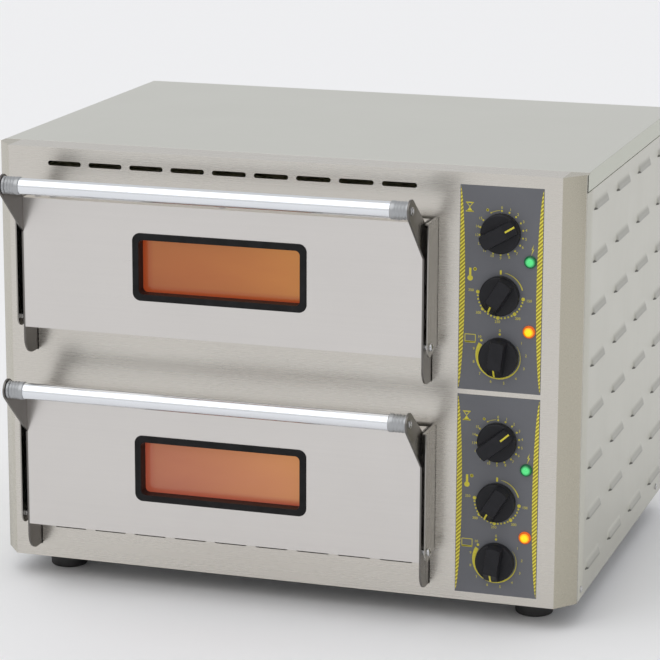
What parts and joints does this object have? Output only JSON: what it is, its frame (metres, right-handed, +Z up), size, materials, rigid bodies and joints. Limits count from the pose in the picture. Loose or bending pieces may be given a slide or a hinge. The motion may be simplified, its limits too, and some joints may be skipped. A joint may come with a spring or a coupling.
{
  "type": "countertop pizza oven",
  "caption": "Double-deck electric countertop pizza oven in brushed steel, with drop-down windowed doors, bar handles and rotary controls.",
  "frame": {"origin": "on the surface the oven stands on, under the middle of its outline, handles and cable gland included", "axes": "+Z up, +X to the right of someone facing the doors, +Y from the doors to the back"},
  "size_m": [0.676, 0.6154, 0.502],
  "materials": {
    "brushed_panel": "horizontally brushed stainless steel",
    "side_sheet": "satin stainless steel with pressed louvres",
    "door_sheet": "finely brushed stainless steel",
    "plain_steel": "cold-rolled stainless steel",
    "screw_steel": "bright zinc-plated steel",
    "handle_aluminium": "bright anodised",
    "ferrule_metal": "matt grey metal",
    "aluminised_steel": "dull aluminised steel, warmed by heat",
    "bezel_black": "matt black",
    "window_glass": "heat-resistant glass, lit from inside",
    "lamp_glass": "frosted oven-lamp glass",
    "knob_black": "semi-matt black phenolic",
    "label_grey": "satin printed foil",
    "pilot_green": "lit translucent lens",
    "pilot_amber": "lit translucent lens",
    "foot_black": "matt black moulded",
    "refractory_stone": "unglazed refractory stone",
    "wool": "mineral wool",
    "element_sheath": "oxidised heating-rod sheath",
    "switch_body": "moulded thermoset",
    "gland_black": "moulded nylon",
    "terminal_ceramic": "unglazed ceramic"
  },
  "bodies": {
    "cabinet": {"front_fascia": "brushed_panel", "top_cover": "brushed_panel", "left_side_panel": "side_sheet", "right_side_panel": "side_sheet", "back_panel": "side_sheet", "base_pan": "aluminised_steel", "control_partition": "aluminised_steel", "feet": "foot_black", "hinge_brackets": "plain_steel", "pivot_screws": "screw_steel", "panel_screws": "screw_steel", "thermostat_probes": "plain_steel", "chamber_lamps": "lamp_glass", "timers": "switch_body", "thermostats": "switch_body", "regulators": "switch_body", "green_pilot_lamps": "pilot_green", "amber_pilot_lamps": "pilot_amber", "cable_gland": "gland_black", "terminal_block": "terminal_ceramic", "upper_chamber": "aluminised_steel", "upper_baking_stone": "refractory_stone", "upper_heating_elements": "element_sheath", "upper_insulation": "wool", "upper_control_label": "label_grey", "lower_chamber": "aluminised_steel", "lower_baking_stone": "refractory_stone", "lower_heating_elements": "element_sheath", "lower_insulation": "wool", "lower_control_label": "label_grey"},
    "upper_door": {"upper_door_outer_panel": "door_sheet", "upper_door_inner_panel": "plain_steel", "upper_door_insulation": "wool", "upper_window_bezel": "bezel_black", "upper_window_glass": "window_glass", "upper_door_cheeks": "plain_steel", "upper_handle_tube": "handle_aluminium", "upper_handle_ferrules": "ferrule_metal", "upper_door_screws": "screw_steel"},
    "lower_door": {"lower_door_outer_panel": "door_sheet", "lower_door_inner_panel": "plain_steel", "lower_door_insulation": "wool", "lower_window_bezel": "bezel_black", "lower_window_glass": "window_glass", "lower_door_cheeks": "plain_steel", "lower_handle_tube": "handle_aluminium", "lower_handle_ferrules": "ferrule_metal", "lower_door_screws": "screw_steel"},
    "upper_timer_dial": {"upper_timer_knob": "knob_black", "upper_timer_spindle": "screw_steel"},
    "upper_thermostat_dial": {"upper_thermostat_knob": "knob_black", "upper_thermostat_spindle": "screw_steel"},
    "upper_regulator_dial": {"upper_regulator_knob": "knob_black", "upper_regulator_spindle": "screw_steel"},
    "lower_timer_dial": {"lower_timer_knob": "knob_black", "lower_timer_spindle": "screw_steel"},
    "lower_thermostat_dial": {"lower_thermostat_knob": "knob_black", "lower_thermostat_spindle": "screw_steel"},
    "lower_regulator_dial": {"lower_regulator_knob": "knob_black", "lower_regulator_spindle": "screw_steel"}
  },
  "joints": [
    {"name": "upper_door_hinge", "type": "hinge", "parent": "cabinet", "child": "upper_door", "pos_m": [-0.0555, -0.2393, 0.3158], "axis": [1, 0, 0], "range_deg": [0, 90]},
    {"name": "lower_door_hinge", "type": "hinge", "parent": "cabinet", "child": "lower_door", "pos_m": [-0.0555, -0.2393, 0.0873], "axis": [1, 0, 0], "range_deg": [0, 90]},
    {"name": "upper_timer_turn", "type": "hinge", "parent": "cabinet", "child": "upper_timer_dial", "pos_m": [0.25, -0.2223, 0.4392], "axis": [0, 1, 0], "range_deg": [-89, 242]},
    {"name": "upper_thermostat_turn", "type": "hinge", "parent": "cabinet", "child": "upper_thermostat_dial", "pos_m": [0.25, -0.2223, 0.3718], "axis": [0, 1, 0], "range_deg": [-212, 98]},
    {"name": "upper_regulator_turn", "type": "hinge", "parent": "cabinet", "child": "upper_regulator_dial", "pos_m": [0.25, -0.2223, 0.3044], "axis": [0, 1, 0], "range_deg": [-187, 113]},
    {"name": "lower_timer_turn", "type": "hinge", "parent": "cabinet", "child": "lower_timer_dial", "pos_m": [0.25, -0.2223, 0.2107], "axis": [0, 1, 0], "range_deg": [-80, 251]},
    {"name": "lower_thermostat_turn", "type": "hinge", "parent": "cabinet", "child": "lower_thermostat_dial", "pos_m": [0.25, -0.2223, 0.1433], "axis": [0, 1, 0], "range_deg": [-212, 98]},
    {"name": "lower_regulator_turn", "type": "hinge", "parent": "cabinet", "child": "lower_regulator_dial", "pos_m": [0.25, -0.2223, 0.0759], "axis": [0, 1, 0], "range_deg": [-187, 113]}
  ]
}
